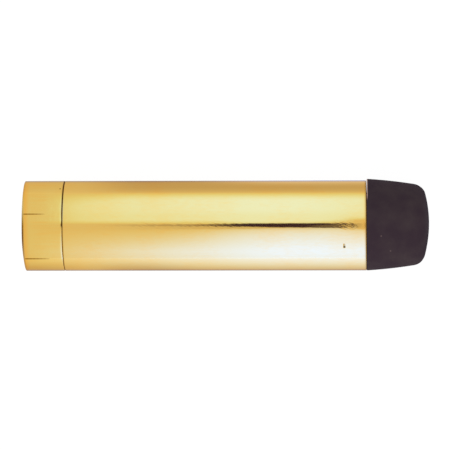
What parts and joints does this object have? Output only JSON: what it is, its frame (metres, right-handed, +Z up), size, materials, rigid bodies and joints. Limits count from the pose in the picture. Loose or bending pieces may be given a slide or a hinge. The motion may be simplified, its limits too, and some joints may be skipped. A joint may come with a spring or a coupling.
{
  "type": "cylinder door stop",
  "caption": "Cylindrical door stop for a wall or skirting board: a screw-fixed brass base, a brass barrel and a domed rubber buffer.",
  "frame": {"origin": "on the axis, in the plane of the back face that meets the wall", "axes": "+X along the axis from the wall to the tip of the buffer, +Z up"},
  "size_m": [0.0719, 0.0164, 0.0162],
  "materials": {
    "base_brass": "polished and lacquered",
    "barrel_brass": "polished and lacquered",
    "buffer_rubber": "matt moulded"
  },
  "bodies": {
    "root": {"wall_base": "base_brass", "barrel": "barrel_brass", "buffer": "buffer_rubber"}
  },
  "joints": []
}
